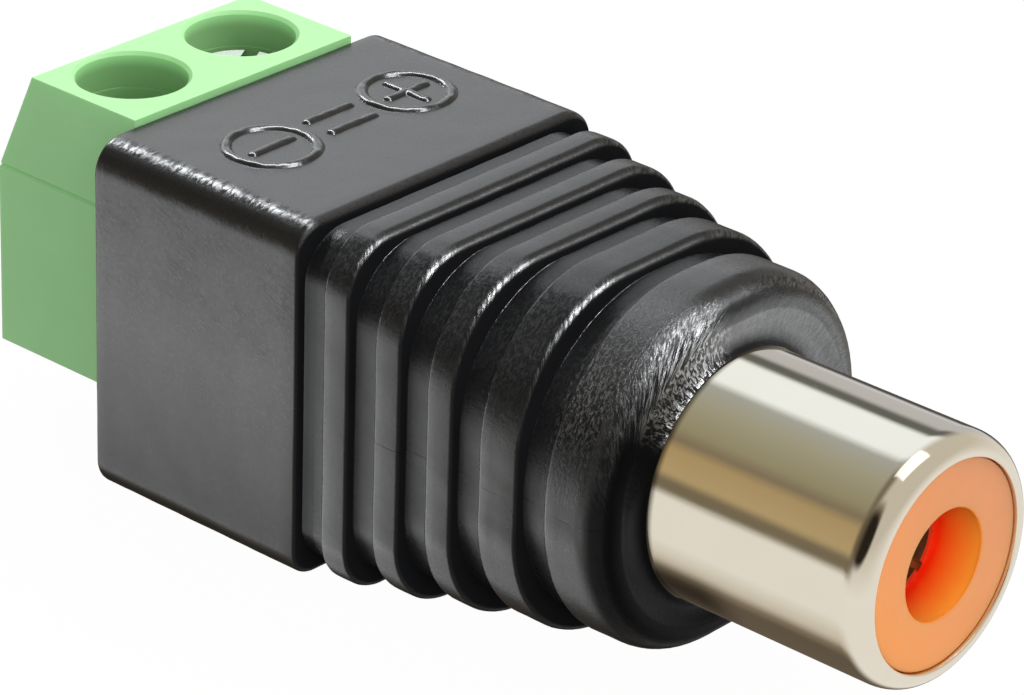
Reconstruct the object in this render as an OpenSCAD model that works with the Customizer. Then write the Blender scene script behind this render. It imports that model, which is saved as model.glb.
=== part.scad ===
// Phono socket to two-way screw terminal adapter
// X runs from the wire entries to the socket, Y across the two poles, Z up
// The origin is under the middle of the whole adapter, on the surface it stands on

/* [Housing] */
// Width of the moulded block across the two poles
housing_w = 13.7; // [12.9:0.1:18]
// Height of the moulded block
housing_h = 12.45; // [12.3:0.05:16]
// Length of the square block behind the ribs
block_len = 9.05; // [7:0.05:16]
// Radius of the four long edges of the block
edge_r = 1.1; // [0.8:0.05:2]
// Radius of the front edges of the block and the ribs
rib_edge_r = 0.28; // [0.1:0.02:0.4]
// Radius round the open back of the block
back_edge_r = 0.15; // [0.05:0.01:0.4]
// Height of the socket's axis above the foot of the housing
axis_h = 6.0; // [5.4:0.05:6.6]

/* [Ribs] */
// Number of grip ribs between the block and the nose
rib_count = 4; // [1:1:6]
// Length of a rib along the socket's axis
rib_len = 1.12; // [0.8:0.02:2]
// Length of the last rib
last_rib_len = 1.6; // [0.8:0.02:3]
// Length of the groove before each rib
groove_len = 0.98; // [0.6:0.02:1.6]
// Depth of the grooves
groove_d = 0.4; // [0.15:0.05:0.6]

/* [Nose] */
// Length of the nose
nose_len = 2.3; // [1.8:0.05:5]
// Width of the nose
nose_w = 12.72; // [12.2:0.02:13.6]
// Height of the nose
nose_h = 12.2; // [12:0.05:12.4]
// Radius of the long edges of the nose
nose_edge_r = 5.9; // [4:0.05:5.95]
// Radius of the shoulder between the nose's side and its face
shoulder_r = 1.0; // [0.4:0.05:1.1]

/* [Polarity marks] */
// Diameter of the raised rings, at the middle of the line
ring_d = 2.95; // [2:0.05:4]
// Distance between the centres of the two rings
ring_pitch = 6.25; // [4.6:0.05:7.4]
// Distance from the back of the housing to the marks
mark_x = 4.15; // [2.4:0.05:5.4]
// Distance of the marks from the middle of the block, towards the plus pole
mark_y = 0.15; // [-0.2:0.05:0.2]
// Width of the raised lines
line_w = 0.3; // [0.15:0.01:0.5]
// Length of the signs inside the rings
sign_len = 1.7; // [1:0.05:2]
// Length of the two bars between the rings
bar_mark_len = 1.9; // [0.8:0.05:2]
// Distance between the two bars
bar_mark_pitch = 1.1; // [0.6:0.05:1.6]

/* [Socket] */
// Outer diameter of the metal shell
shell_d = 8.3; // [8:0.05:8.6]
// Wall of the metal shell
shell_wall = 0.7; // [0.6:0.05:0.9]
// Length of the shell that stands out of the nose
shell_out = 8.25; // [7:0.05:12]
// Length of the shell that is held in the housing
shell_in = 6.9; // [5:0.05:7.2]
// Thickness of the flange at the shell's back
flange_t = 0.8; // [0.5:0.05:1.2]
// Radius of the shell's front edge
rim_r = 0.55; // [0.1:0.05:0.55]
// Depth of the insulator's face behind the rim
face_recess = 0.15; // [0.1:0.05:1]
// Diameter of the hole in the insulator's face
entry_d = 3.64; // [3.4:0.02:3.8]
// Depth from the face to the centre contact
contact_recess = 1.8; // [1:0.05:3]
// Inner diameter of the centre contact
contact_bore_d = 3.24; // [3.2:0.01:3.3]
// Wall of the centre contact
contact_wall = 0.38; // [0.25:0.01:0.5]
// Depth of the centre contact's bore
contact_depth = 8.8; // [6:0.1:9]
// Width of the slits in the centre contact
slit_w = 0.3; // [0.15:0.05:0.5]
// Diameter of the centre contact's tail
tail_d = 1.2; // [0.8:0.05:1.6]

/* [Terminal block] */
// Distance between the two poles
pole_pitch = 5.0; // [4.9:0.02:5.4]
// Height of the terminal block
terminal_h = 10.05; // [9.8:0.05:11.5]
// Depth of the block outside the housing
terminal_depth = 6.44; // [6.2:0.02:8]
// Least width of the flat top between the screw wells and the slope
well_land = 0.1; // [0.02:0.02:0.8]
// Thickness of the block's floor
terminal_floor = 0.45; // [0.3:0.05:0.7]
// Depth of the foot that the housing grips
foot_depth = 1.35; // [0.8:0.05:2]
// Distance from the top of the block to the seam line and the slope
seam_drop = 3.7; // [3:0.05:4]
// Distance from the screw's axis to the back of the housing
screw_back = 2.72; // [2.6:0.01:2.9]
// Diameter of the screw wells at the top
well_d = 3.72; // [3.66:0.02:3.9]
// Width of the wire entries
entry_w = 2.8; // [2.4:0.1:3]
// Height of the space for a wire in an open clamp
wire_h = 2.5; // [2:0.1:2.6]

/* [Screws and clamps] */
// Diameter of the screw's thread
thread_d = 3.0; // [2.4:0.1:3]
// Diameter of the screw's head
head_d = 3.44; // [3.2:0.02:3.46]
// Height of the screw's head
head_h = 0.9; // [0.7:0.05:1]
// Width of the driver slots
slot_w = 0.5; // [0.3:0.05:0.7]
// Height by which the plus screw stands turned out
screw_out = 0.7; // [0:0.05:0.9]
// Height by which the plus clamp stands raised
clamp_up = 1.0; // [0.8:0.05:1.4]
// Travel of a clamp from open to closed
clamp_travel = 1.9; // [1.4:0.05:1.95]
// Length of a clamp along the wire
clamp_len = 4.3; // [3.8:0.05:4.4]
// Thickness of the clamp's top, which holds the thread
clamp_top = 0.9; // [0.7:0.05:1]
// Thickness of the clamp's sides and bottom
clamp_wall = 0.45; // [0.3:0.05:0.5]
// Thickness of the contact bars
bar_t = 0.6; // [0.4:0.05:0.7]
// Length of the contact bars' solder tails
bar_tail_len = 1.7; // [1:0.05:2.4]

/* [Joints inside] */
// Width of the two link strips
link_w = 1.0; // [0.8:0.05:1.2]
// Thickness of the two link strips
link_t = 0.5; // [0.3:0.05:0.6]
// Thickness of the washer behind the socket
washer_t = 1.2; // [0.8:0.05:1.6]
// Thickness of the ground lug
lug_t = 0.4; // [0.3:0.05:0.6]

/* [Hidden] */
$fn = 64;

// Clearances: mould for what the plastic grips, run for a turning fit, slide for flat guides,
// head round the screw heads, nose round the shell where it leaves the housing
mould_gap = 0.02;
run_gap = 0.05;
slide_gap = 0.1;
head_gap = 0.08;
nose_gap = 0.1;

// How far a cut runs past a face, and how far two shapes of one piece run into each other
past = 1;
join = 0.1;

// Steps of a corner, of an end's rounding and of the shoulder
corner_steps = 11;
end_steps = 3;
shoulder_steps = 7;

// Share of the square term in the growth of the ribs' corner radius
rib_curve = 0.15;

// Places along X
ribs_len = (rib_count + 1) * groove_len + (rib_count - 1) * rib_len + last_rib_len;
housing_len = block_len + ribs_len + nose_len;
total_len = terminal_depth + housing_len + shell_out;
front_x = -total_len / 2;
back_x = front_x + terminal_depth;
block_x = back_x + block_len;
nose_x = block_x + ribs_len;
face_x = nose_x + nose_len;
rim_x = face_x + shell_out;
insulator_x = rim_x - face_recess;
contact_x = insulator_x - contact_recess;
flange_x = face_x - shell_in;
lug_x = flange_x - lug_t;
washer_x = lug_x - washer_t;
mid_z = housing_h / 2;

// Half width, half height and corner radius at rib k, where 0 is the block and the last the nose
function rib_t(k) = k / (rib_count + 1);
function rib_r(k) = edge_r + (nose_edge_r - edge_r) * rib_t(k) * (1 - rib_curve * (1 - rib_t(k)));
function rib_hy(k) = (housing_w + (nose_w - housing_w) * rib_t(k)) / 2;
function rib_hz(k) = (housing_h + (nose_h - housing_h) * rib_t(k)) / 2;
function rib_x(k) = block_x + groove_len + (k - 1) * (groove_len + rib_len);
function rib_end(k) = rib_x(k) + (k == rib_count ? last_rib_len : rib_len);

// Ring of points round the X axis at x, drawn in by d from the outline of rib k
function ring_at(x, k, d) = let (r = rib_r(k) - d, y = rib_hy(k) - rib_r(k), z = rib_hz(k) - rib_r(k))
    [for (c = [0:3], i = [0:corner_steps])
        let (a = 90 * (c + i / corner_steps), sy = (c == 0 || c == 3) ? 1 : -1, sz = c < 2 ? 1 : -1)
        [x, sy * y + r * cos(a), mid_z + sz * z + r * sin(a)]];

// Rings of one piece from x0 to x1, with its back end rounded by q0 and its front end by q1
function piece_rings(k, x0, x1, q0, q1, steps) = concat(
    [for (i = [0:end_steps]) let (a = 90 * i / end_steps)
        ring_at(x0 + q0 * (1 - cos(a)), k, q0 * (1 - sin(a)))],
    [for (i = [0:steps]) let (a = 90 * i / steps)
        ring_at(x1 - q1 * (1 - sin(a)), k, q1 * (1 - cos(a)))]);

// Rings of the groove before rib k
function groove_rings(k, x0) = [ring_at(x0, k, groove_d), ring_at(x0 + groove_len, k, groove_d)];

housing_rings = concat(
    piece_rings(0, back_x, block_x, back_edge_r, rib_edge_r, end_steps),
    [for (k = [1:rib_count]) each concat(groove_rings(k, rib_x(k) - groove_len),
        piece_rings(k, rib_x(k), rib_end(k), rib_edge_r / 2, rib_edge_r, end_steps))],
    groove_rings(rib_count + 1, rib_end(rib_count)),
    piece_rings(rib_count + 1, nose_x, face_x, rib_edge_r / 2, shoulder_r, shoulder_steps));

// Solid skin through a row of rings of equal length
module loft(rings) {
    n = len(rings[0]);
    m = len(rings);
    polyhedron(points = [for (ring = rings) each ring], faces = concat(
        [[for (i = [0:n - 1]) i]],
        [for (j = [0:m - 2], i = [0:n - 1], side = [0, 1]) let (a = j * n + i, b = j * n + (i + 1) % n)
            side == 0 ? [a, a + n, b + n] : [a, b + n, b]],
        [[for (i = [0:n - 1]) m * n - 1 - i]]));
}

// Heights in the terminal block, from its bars, which lie level with the top of the contact's tail
bar_top_z = axis_h + tail_d / 2 + run_gap;
bar_z = bar_top_z - bar_t;
clamp_open_z = bar_z - wire_h - clamp_wall;
chamber_z0 = clamp_open_z - run_gap;
term_z0 = chamber_z0 - terminal_floor;
term_z1 = term_z0 + terminal_h;
clamp_h = clamp_wall + wire_h + bar_t + slide_gap + clamp_top;
chamber_z1 = clamp_open_z + clamp_h + clamp_travel + slide_gap;
head_z = chamber_z1 + slide_gap;
well_step_z = head_z + screw_out + head_h + run_gap;
seam_z = term_z1 - seam_drop;
screw_x = back_x - screw_back;
block_half = pole_pitch;
clamp_in_w = thread_d + 2 * run_gap;
clamp_w = clamp_in_w + 2 * clamp_wall;
chamber_w = clamp_w + 2 * slide_gap;
chamber_len = clamp_len + 2 * slide_gap;
bar_w = entry_w - 3 * slide_gap;
bar_pocket = 0.4;
bar_tail_w = 1.2;
lead_in = 0.12;
top_x = screw_x - well_d / 2 - lead_in - well_land;
bar_x0 = screw_x - chamber_len / 2 - bar_pocket;
foot_x = back_x + foot_depth;
foot_cover = 1.0;
foot_inset = 0.9;
foot_z = bar_top_z + foot_cover;
foot_half = pole_pitch - foot_inset;
bar_neck_x = foot_x - 0.3;
bar_tail_x = foot_x + bar_tail_len;
seam_w = 0.12;
entry_flare = 0.4;
entry_flare_depth = 0.5;

// Details of the screws
screw_tip = 0.3;
head_edge = 0.12;
slot_depth = head_h / 2;
slot_turn = 30;

// Places in the socket
shell_r = shell_d / 2;
shell_bore_r = shell_r - shell_wall;
shell_bore_x = flange_x + flange_t;
root_lip = 0.25;
root_cover = 0.15;
root_r = shell_r + root_lip;
root_x = face_x - mould_gap - root_cover;
flange_lip = 0.7;
flange_r = shell_r + flange_lip;
insulator_r = shell_bore_r - mould_gap;
spigot_r = 2.5;
contact_bore_r = contact_bore_d / 2;
contact_r = contact_bore_r + contact_wall;
contact_back_x = contact_x - contact_depth;
contact_root = 1.2;
contact_root_x = contact_back_x - contact_root;
slit_len = contact_depth * 0.6;
tail_r = tail_d / 2;
tail_out = 1.8;
tail_x = washer_x - tail_out;
washer_r = 3.9;
lug_inset = 0.15;
lug_r = flange_r - lug_inset;
tab_w = 1.6;
tab_len = 2.4;
tab_y = washer_r + run_gap;

// Places of the link strips
link_space = 0.5;
link_x0 = foot_x + link_space;
link_x1 = washer_x - link_space;
link_a = 45;

// Link strip of one pole: straight, a slant to the side, straight, grown by a gap
module link(side, gap) {
    y0 = side * pole_pitch / 2;
    y1 = side > 0 ? 0 : link_w / 2 - tab_y;
    s = sign(y1 - y0);
    run = abs(y1 - y0) / tan(link_a);
    xs = (bar_tail_x + tail_x - run) / 2;
    h = link_w / 2 + gap;
    t = h * tan(link_a / 2) * s;
    translate([0, 0, bar_top_z - gap]) linear_extrude(link_t + 2 * gap) polygon([
        [link_x0 - gap, y0 - h], [xs + t, y0 - h], [xs + run + t, y1 - h], [link_x1 + gap, y1 - h],
        [link_x1 + gap, y1 + h], [xs + run - t, y1 + h], [xs - t, y0 + h], [link_x0 - gap, y0 + h]]);
}

// Body of revolution about the socket's axis, from an outline of x and radius
module turned() {
    translate([0, 0, axis_h]) rotate([0, 90, 0]) rotate_extrude() rotate(90) mirror([0, 1]) children();
}

// Outline of a tube from x0 to x1 between two radii
module tube(x0, x1, r0, r1) {
    translate([x0, r0]) square([x1 - x0, r1 - r0]);
}

// Box given by its two corners
module span(a, b) {
    translate(a) cube(b - a);
}

// Contact bar of one pole, grown by a gap
module bar(side, gap) {
    y = side * pole_pitch / 2;
    h = bar_w / 2 + gap;
    t = bar_tail_w / 2 + gap;
    span([bar_x0 - gap, y - h, bar_z - gap], [bar_neck_x + gap, y + h, bar_top_z + gap]);
    span([bar_neck_x - join, y - t, bar_z - gap], [bar_tail_x + gap, y + t, bar_top_z + gap]);
}

// Foot of the block, grown by a gap
module foot(gap) {
    span([back_x - join, -foot_half - gap, term_z0 - gap], [foot_x + gap, foot_half + gap, foot_z + gap]);
}

// Ring and tab that take the ground link, grown by a gap
module lug(gap) {
    turned() tube(lug_x - gap, flange_x, spigot_r + mould_gap, lug_r + gap);
    span([washer_x - tab_len - gap, -tab_y - lug_t - gap, bar_top_z - tab_w / 2 - gap],
         [flange_x, -tab_y + gap, bar_top_z + tab_w / 2 + gap]);
}

// Part of a raised line's width that lies below the housing's top
line_sink = 0.12;

// Raised line with round ends, lying along Y, from its length
module raised_line(length) {
    rotate([90, 0, 0]) cylinder(h = length, r = line_w / 2, center = true);
    for (s = [-1, 1]) translate([0, s * length / 2, 0]) sphere(r = line_w / 2);
}

// Polarity marks: a ring with a minus, two bars and a ring with a plus
module marks() {
    translate([back_x + mark_x, mark_y, housing_h - line_w * line_sink]) {
        for (s = [-1, 1]) translate([0, s * ring_pitch / 2, 0]) {
            rotate_extrude() translate([ring_d / 2, 0]) circle(r = line_w / 2);
            raised_line(sign_len);
        }
        translate([0, ring_pitch / 2, 0]) rotate(90) raised_line(sign_len);
        for (s = [-1, 1]) translate([s * bar_mark_pitch / 2, 0, 0]) raised_line(bar_mark_len);
    }
}

// Space in the housing for everything that it was moulded round
module housing_inside() {
    foot(mould_gap);
    turned() {
        tube(root_x, face_x + past, 0, shell_r + nose_gap);
        tube(lug_x, root_x + mould_gap, 0, root_r + mould_gap);
        tube(lug_x, flange_x + flange_t + mould_gap, 0, flange_r + mould_gap);
        tube(washer_x - mould_gap, flange_x, 0, washer_r + mould_gap);
        tube(tail_x - mould_gap, washer_x, 0, tail_r + mould_gap);
    }
    lug(mould_gap);
    for (side = [-1, 1]) {
        bar(side, mould_gap);
        link(side, mould_gap);
    }
}

module housing() color([0.16, 0.165, 0.175]) difference() {
    union() {
        loft(housing_rings);
        marks();
    }
    housing_inside();
}

// Side view of the block: flat top, sloped shoulder over the wire entries, straight front
module terminal_side() {
    polygon([[front_x, term_z0], [back_x, term_z0], [back_x, term_z1], [top_x, term_z1],
        [front_x, seam_z]]);
}

// Screw well of one pole, wider above the screw head's reach and eased at the mouth
module well() {
    r0 = head_d / 2 + head_gap;
    r1 = well_d / 2;
    rotate_extrude() polygon([[0, chamber_z1 - join], [r0, chamber_z1 - join], [r0, well_step_z],
        [r1, well_step_z], [r1, term_z1 - lead_in], [r1 + lead_in * 2, term_z1 + lead_in],
        [0, term_z1 + lead_in]]);
}

// Wire entry through the front wall, with a sloped lead-in all round
module wire_entry() {
    z0 = clamp_open_z + clamp_wall;
    h = entry_w / 2;
    f = entry_flare;
    x1 = front_x + entry_flare_depth;
    span([front_x - past, -h, z0], [screw_x, h, bar_z]);
    hull() {
        span([front_x - join, -h - f, z0 - f], [front_x, h + f, bar_z + f]);
        span([x1, -h, z0], [x1 + join, h, bar_z]);
    }
}

module terminal_body() color([0.47, 0.8, 0.42]) difference() {
    union() {
        rotate([90, 0, 0]) linear_extrude(2 * block_half, center = true) terminal_side();
        foot(0);
    }
    for (side = [-1, 1]) {
        bar(side, mould_gap);
        translate([screw_x, side * pole_pitch / 2, 0]) {
            span([-chamber_len / 2, -chamber_w / 2, chamber_z0],
                 [chamber_len / 2, chamber_w / 2, chamber_z1]);
            well();
        }
        translate([0, side * pole_pitch / 2, 0]) wire_entry();
        translate([front_x - past, side * block_half, seam_z]) rotate([45, 0, 0])
            cube([terminal_depth + 2 * past, seam_w, seam_w]);
    }
}

// Screw of one pole, with its tip up or down by lift
module screw(side, lift) {
    r = thread_d / 2 - run_gap;
    tip_z = bar_top_z + run_gap;
    top = head_z + head_h;
    translate([screw_x, side * pole_pitch / 2, lift]) difference() {
        rotate_extrude() polygon([[0, tip_z], [r - screw_tip, tip_z], [r, tip_z + screw_tip], [r, head_z],
            [head_d / 2, head_z], [head_d / 2, top - head_edge], [head_d / 2 - head_edge, top], [0, top]]);
        for (a = [0, 90]) rotate(slot_turn + a)
            span([-head_d, -slot_w / 2, top - slot_depth], [head_d, slot_w / 2, top + past]);
    }
}

module screw_minus() color([0.78, 0.79, 0.8]) screw(-1, 0);
module screw_plus() color([0.78, 0.79, 0.8]) screw(1, screw_out);

// Clamp of one pole: a square hoop round the bar, with the screw's thread in its top
module clamp(side, lift) {
    translate([screw_x, side * pole_pitch / 2, clamp_open_z + lift]) difference() {
        rotate([90, 0, 90]) linear_extrude(clamp_len, center = true) difference() {
            translate([-clamp_w / 2, 0]) square([clamp_w, clamp_h]);
            translate([-clamp_in_w / 2, clamp_wall])
                square([clamp_in_w, clamp_h - clamp_wall - clamp_top]);
        }
        translate([0, 0, clamp_h - clamp_top - join]) cylinder(h = clamp_top + 2 * join, r = thread_d / 2);
    }
}

module clamp_minus() color([0.72, 0.72, 0.7]) clamp(-1, 0);
module clamp_plus() color([0.72, 0.72, 0.7]) clamp(1, clamp_up);

module contact_bar_minus() color([0.8, 0.66, 0.36]) bar(-1, 0);
module contact_bar_plus() color([0.8, 0.66, 0.36]) bar(1, 0);

module jack_shell() color([0.78, 0.76, 0.7]) turned() {
    tube(shell_bore_x, rim_x - rim_r, shell_bore_r, shell_r);
    tube(shell_bore_x, rim_x, shell_bore_r, shell_r - rim_r);
    translate([rim_x - rim_r, shell_r - rim_r]) intersection() {
        circle(r = rim_r);
        square(rim_r);
    }
    tube(shell_bore_x, root_x, shell_bore_r, root_r);
    tube(flange_x, shell_bore_x, spigot_r + mould_gap, flange_r);
}

module jack_insulator() color([0.95, 0.5, 0.25]) turned() difference() {
    union() {
        tube(shell_bore_x, insulator_x, 0, insulator_r);
        tube(lug_x, shell_bore_x + join, 0, spigot_r);
    }
    tube(contact_x - join, insulator_x + past, 0, entry_d / 2);
    tube(contact_root_x - mould_gap, contact_x, 0, contact_r + mould_gap);
    tube(lug_x - past, contact_root_x, 0, tail_r + mould_gap);
}

module centre_contact() color([0.8, 0.63, 0.3]) difference() {
    turned() {
        tube(contact_root_x, contact_back_x, 0, contact_r);
        tube(contact_back_x - join, contact_x, contact_bore_r, contact_r);
        tube(tail_x, contact_root_x + join, 0, tail_r);
    }
    translate([0, 0, axis_h]) for (a = [45, 135]) rotate([a, 0, 0])
        span([contact_x - slit_len, -slit_w / 2, -contact_r - past],
             [contact_x + past, slit_w / 2, contact_r + past]);
}

module rear_washer() color([0.45, 0.3, 0.18]) turned()
    tube(washer_x, lug_x, tail_r + mould_gap, washer_r);

module ground_lug() color([0.75, 0.73, 0.68]) difference() {
    lug(0);
    turned() tube(washer_x - tab_len - past, lug_x, 0, washer_r + mould_gap);
}

module link_minus() color([0.75, 0.76, 0.77]) link(-1, 0);
module link_plus() color([0.75, 0.76, 0.77]) link(1, 0);

housing();
terminal_body();
screw_minus();
screw_plus();
clamp_minus();
clamp_plus();
contact_bar_minus();
contact_bar_plus();
jack_shell();
jack_insulator();
centre_contact();
rear_washer();
ground_lug();
link_minus();
link_plus();
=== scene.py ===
import bmesh
import bpy
import math
from mathutils import Matrix, Vector, noise
from types import SimpleNamespace


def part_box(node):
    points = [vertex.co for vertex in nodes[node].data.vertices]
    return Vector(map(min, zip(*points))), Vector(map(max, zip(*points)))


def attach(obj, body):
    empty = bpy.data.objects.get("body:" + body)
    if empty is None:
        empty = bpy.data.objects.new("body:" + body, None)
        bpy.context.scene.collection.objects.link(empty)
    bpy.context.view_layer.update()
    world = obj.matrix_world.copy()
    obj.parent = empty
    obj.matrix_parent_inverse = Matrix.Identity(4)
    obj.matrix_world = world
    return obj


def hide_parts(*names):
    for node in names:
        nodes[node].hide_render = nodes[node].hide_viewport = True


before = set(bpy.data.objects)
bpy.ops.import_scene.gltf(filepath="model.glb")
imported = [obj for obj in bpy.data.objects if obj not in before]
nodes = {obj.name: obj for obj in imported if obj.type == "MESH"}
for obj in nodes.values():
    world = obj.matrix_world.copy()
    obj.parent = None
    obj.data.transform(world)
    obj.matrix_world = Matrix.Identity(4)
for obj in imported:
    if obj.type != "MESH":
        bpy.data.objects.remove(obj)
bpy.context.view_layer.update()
MM = 0.001

# Sizes in millimetres, the same as in the part's source
AXIS_H, HOUSING_W, HOUSING_H = 6.0, 13.7, 12.45
BLOCK_LEN, NOSE_LEN, NOSE_W, NOSE_H = 9.05, 2.3, 12.72, 12.2
EDGE_R, NOSE_EDGE_R, BACK_EDGE_R, SHOULDER_R, RIB_CURVE = 1.1, 5.9, 0.15, 1.0, 0.15
RIBS, GROOVE, RIB, LAST_RIB, GROOVE_D = 4, 0.98, 1.12, 1.6, 0.4
SHELL_R, SHELL_BORE_R, FLANGE_R, FLANGE_T = 4.15, 3.45, 4.85, 0.8
ROOT_R, ROOT_COVER, FIT = 4.4, 0.15, 0.02
SPIGOT_R, ENTRY_R, CONTACT_R, CONTACT_LEN, TAIL_R = 2.5, 1.82, 2.0, 10.0, 0.6
POLE_Y = 2.5
MARK_BACK, MARK_Y, RING_Y, RING_R = 4.15, 0.15, 3.125, 1.475
SIGN_HALF, BAR_HALF, BAR_X = 0.85, 0.95, 0.55

# Sizes of the visible skin alone: front edges rounder above and sharper at the sides, where the grooves are
# shallower too, a hole that closes on the shell, and the shell's rim as a part of an ellipse
RIB_EDGE_R, SIDE_LESS, FLOOR_LESS, FLOOR_FILLET, FLOOR_NEAR = 0.36, 0.65, 0.35, 0.035, 0.03
HOLE_R = 4.175
RIM_LEN, RIM_DROP, RIM_INNER_R, RIM_INSIDE = 0.9, 0.58, 0.07, 0.1
FACE_EDGE_R, FACE_RINGS, BORE_SKIN = 0.06, (3.0, 2.4), 0.01
PATCH_X, PATCH_Y, LINE_HALF, LINE_H, MARK_SINK = 2.0, 5.0, 0.2, 0.125, 0.012

# Steps round a corner, along a flat and the housing, in a groove's fillet, at the shoulder and in the marks
CORNER, FLAT, ROW_STEP, FILLET_STEPS, SHOULDER_STEPS, MARK_STEP = 22, 26, 0.35, 4, 16, 0.04

# Steps round the shell and the insulator, and the angles from which their edges and the skin's are sharp
SHELL_STEPS, DISC_STEPS, TURNED_SHARP, SKIN_SHARP = 288, 192, 35, 50

# How fast the grain sets in round a corner, and its strength on the lower corners
GRAIN_POWER, GRAIN_BELOW = 0.6, 0.35

# Places along X in millimetres, from the bounds of the parts in model.glb
BACK_X, FACE_X = [v.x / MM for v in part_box("housing")]
FLANGE_X, RIM_X = [v.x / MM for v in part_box("jack_shell")]
LUG_X, INSULATOR_X = [v.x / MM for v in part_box("jack_insulator")]
CONTACT_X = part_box("centre_contact")[1].x / MM
BLOCK_X, NOSE_X = BACK_X + BLOCK_LEN, FACE_X - NOSE_LEN
SHELL_BORE_X, ROOT_X = FLANGE_X + FLANGE_T, FACE_X - FIT - ROOT_COVER
SCREW_X = sum(v.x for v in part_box("screw_minus")) / 2 / MM
GREEN_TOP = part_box("terminal_body")[1].z / MM
MARK_X = BACK_X + MARK_BACK


# Mesh helpers
def add_mesh(name, points, faces, smooth=True):
    me = bpy.data.meshes.new(name)
    me.from_pydata([Vector(p) * MM for p in points], [], faces)
    me.validate()
    ob = bpy.data.objects.new(name, me)
    bpy.context.scene.collection.objects.link(ob)
    bm = bmesh.new()
    bm.from_mesh(me)
    bmesh.ops.recalc_face_normals(bm, faces=bm.faces)
    bm.to_mesh(me)
    bm.free()
    for p in me.polygons:
        p.use_smooth = smooth
    return ob


# Edges that turn by more than the angle are drawn sharp
def sharpen(ob, angle):
    bm = bmesh.new()
    bm.from_mesh(ob.data)
    for e in bm.edges:
        e.smooth = not (len(e.link_faces) == 2 and e.calc_face_angle(0) > math.radians(angle))
    bm.to_mesh(ob.data)
    bm.free()


# Faces between neighbouring rows of n points each
def strip_faces(rows, n, closed_rows=False):
    faces = []
    for j in range(rows - (0 if closed_rows else 1)):
        a, b = j * n, ((j + 1) % rows) * n
        faces += [(a + i, b + i, b + (i + 1) % n, a + (i + 1) % n) for i in range(n)]
    return faces


# A closed outline turned about the socket's axis
def revolve(name, outline, segments):
    points = [(x, r * math.cos(2 * math.pi * i / segments), AXIS_H + r * math.sin(2 * math.pi * i / segments))
              for x, r in outline for i in range(segments)]
    ob = add_mesh(name, points, strip_faces(len(outline), segments, True))
    sharpen(ob, TURNED_SHARP)
    return ob


def arc(cx, cr, r, a0, a1, steps):
    return [(cx + r * math.cos(math.radians(a0 + (a1 - a0) * i / steps)),
             cr + r * math.sin(math.radians(a0 + (a1 - a0) * i / steps))) for i in range(steps + 1)]


# Cosine and sine at even steps of a quarter turn
def quarter(steps):
    turns = [math.radians(90 * i / steps) for i in range(steps + 1)]
    return [(math.cos(a), math.sin(a)) for a in turns]


# A copy of a CAD node with its flat faces joined and its edges eased
def eased(node, name, width):
    me = nodes[node].data.copy()
    me.materials.clear()
    ob = bpy.data.objects.new(name, me)
    bpy.context.scene.collection.objects.link(ob)
    bm = bmesh.new()
    bm.from_mesh(me)
    bmesh.ops.remove_doubles(bm, verts=bm.verts, dist=1e-6)
    bmesh.ops.dissolve_limit(bm, angle_limit=math.radians(1), verts=bm.verts, edges=bm.edges)
    bm.to_mesh(me)
    bm.free()
    if me.attributes.get("custom_normal"):
        me.attributes.remove(me.attributes["custom_normal"])
    for p in me.polygons:
        p.use_smooth = True
    mod = ob.modifiers.new("ease", "BEVEL")
    mod.width = width * MM
    mod.segments = 2
    mod.limit_method = "ANGLE"
    mod.angle_limit = math.radians(30)
    mod.harden_normals = True
    mod.use_clamp_overlap = True
    bpy.context.view_layer.objects.active = ob
    dg = bpy.context.evaluated_depsgraph_get()
    done = bpy.data.meshes.new_from_object(ob.evaluated_get(dg))
    ob.modifiers.clear()
    ob.data = done
    return ob


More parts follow.
